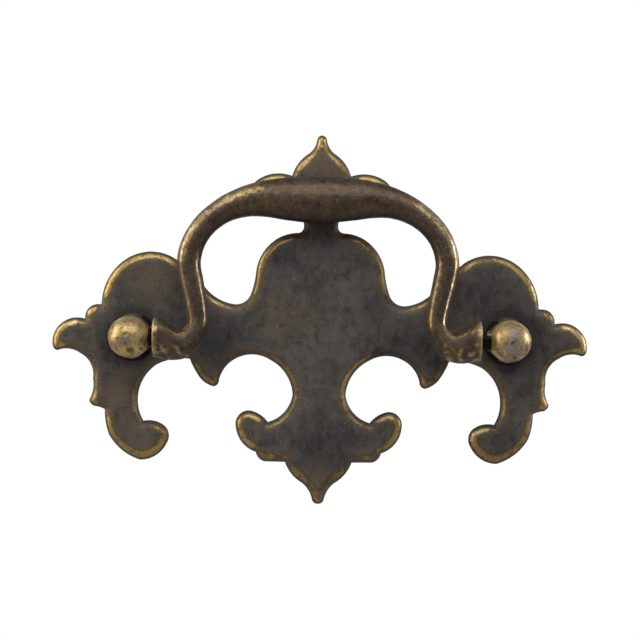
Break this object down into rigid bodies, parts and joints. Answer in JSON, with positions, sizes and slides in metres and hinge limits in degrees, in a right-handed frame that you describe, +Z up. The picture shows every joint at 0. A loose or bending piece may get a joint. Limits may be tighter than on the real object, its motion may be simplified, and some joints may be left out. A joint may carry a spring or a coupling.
{
  "type": "drawer handle",
  "caption": "Cast brass bail pull: a scrolled backplate with ball-headed posts that carry a swan-neck bail swinging up and down.",
  "frame": {"origin": "midway between the two post holes, on the plane of the backplate's back", "axes": "+X along the drawer front, towards the right seen from the room; +Y into the drawer front; +Z up"},
  "size_m": [0.1088, 0.0144, 0.075],
  "materials": {
    "plate_patina": "dark patina, worn to brass along the edges",
    "post_brass": "aged, rubbed bright",
    "bail_brass": "brown patina, rubbed on the ridges"
  },
  "bodies": {
    "plate": {"backplate": "plate_patina", "post_left": "post_brass", "post_right": "post_brass"},
    "bail": {"bail": "bail_brass"}
  },
  "joints": [
    {"name": "bail_swing", "type": "hinge", "parent": "plate", "child": "bail", "pos_m": [0, -0.0102, 0], "axis": [1, 0, 0], "range_deg": [0, 163.7]}
  ]
}
